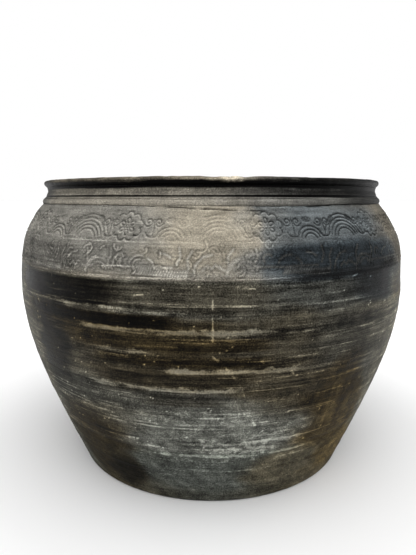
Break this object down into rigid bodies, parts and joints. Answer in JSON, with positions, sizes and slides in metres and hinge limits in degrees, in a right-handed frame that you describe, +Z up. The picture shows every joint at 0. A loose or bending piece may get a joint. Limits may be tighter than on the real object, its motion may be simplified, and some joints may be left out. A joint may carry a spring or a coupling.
{
  "type": "clay jar",
  "caption": "Wide-mouthed round clay jar with a rolled lip, short neck, applied cordon and two turned and incised shoulder bands, hollow and open at the top, resting on a flat foot.",
  "frame": {"origin": "middle of the flat resting face under the floor", "axes": "+Z up along the turning axis; the jar is round, so +X and +Y are any two level directions, with the dipped and scarred stretch of the lip facing -Y"},
  "size_m": [0.5, 0.5, 0.3605],
  "materials": {
    "smoked_clay": "low-fired clay smoked black in the kiln, burnished with a pebble and worn to a dull sheen",
    "incised_clay": "the same black clay, leather-hard incised, with pale dust in the lines",
    "rim_clay": "the same black clay, rubbed brown on the lip by handling",
    "foot_clay": "the same black clay, unburnished and dusty near the foot"
  },
  "bodies": {
    "root": {"base_disc": "foot_clay", "foot_course": "foot_clay", "lower_course": "smoked_clay", "belly_course": "smoked_clay", "upper_course": "smoked_clay", "shoulder_course": "incised_clay", "neck_ring": "incised_clay", "cordon": "incised_clay", "lip_roll": "rim_clay"}
  },
  "joints": []
}
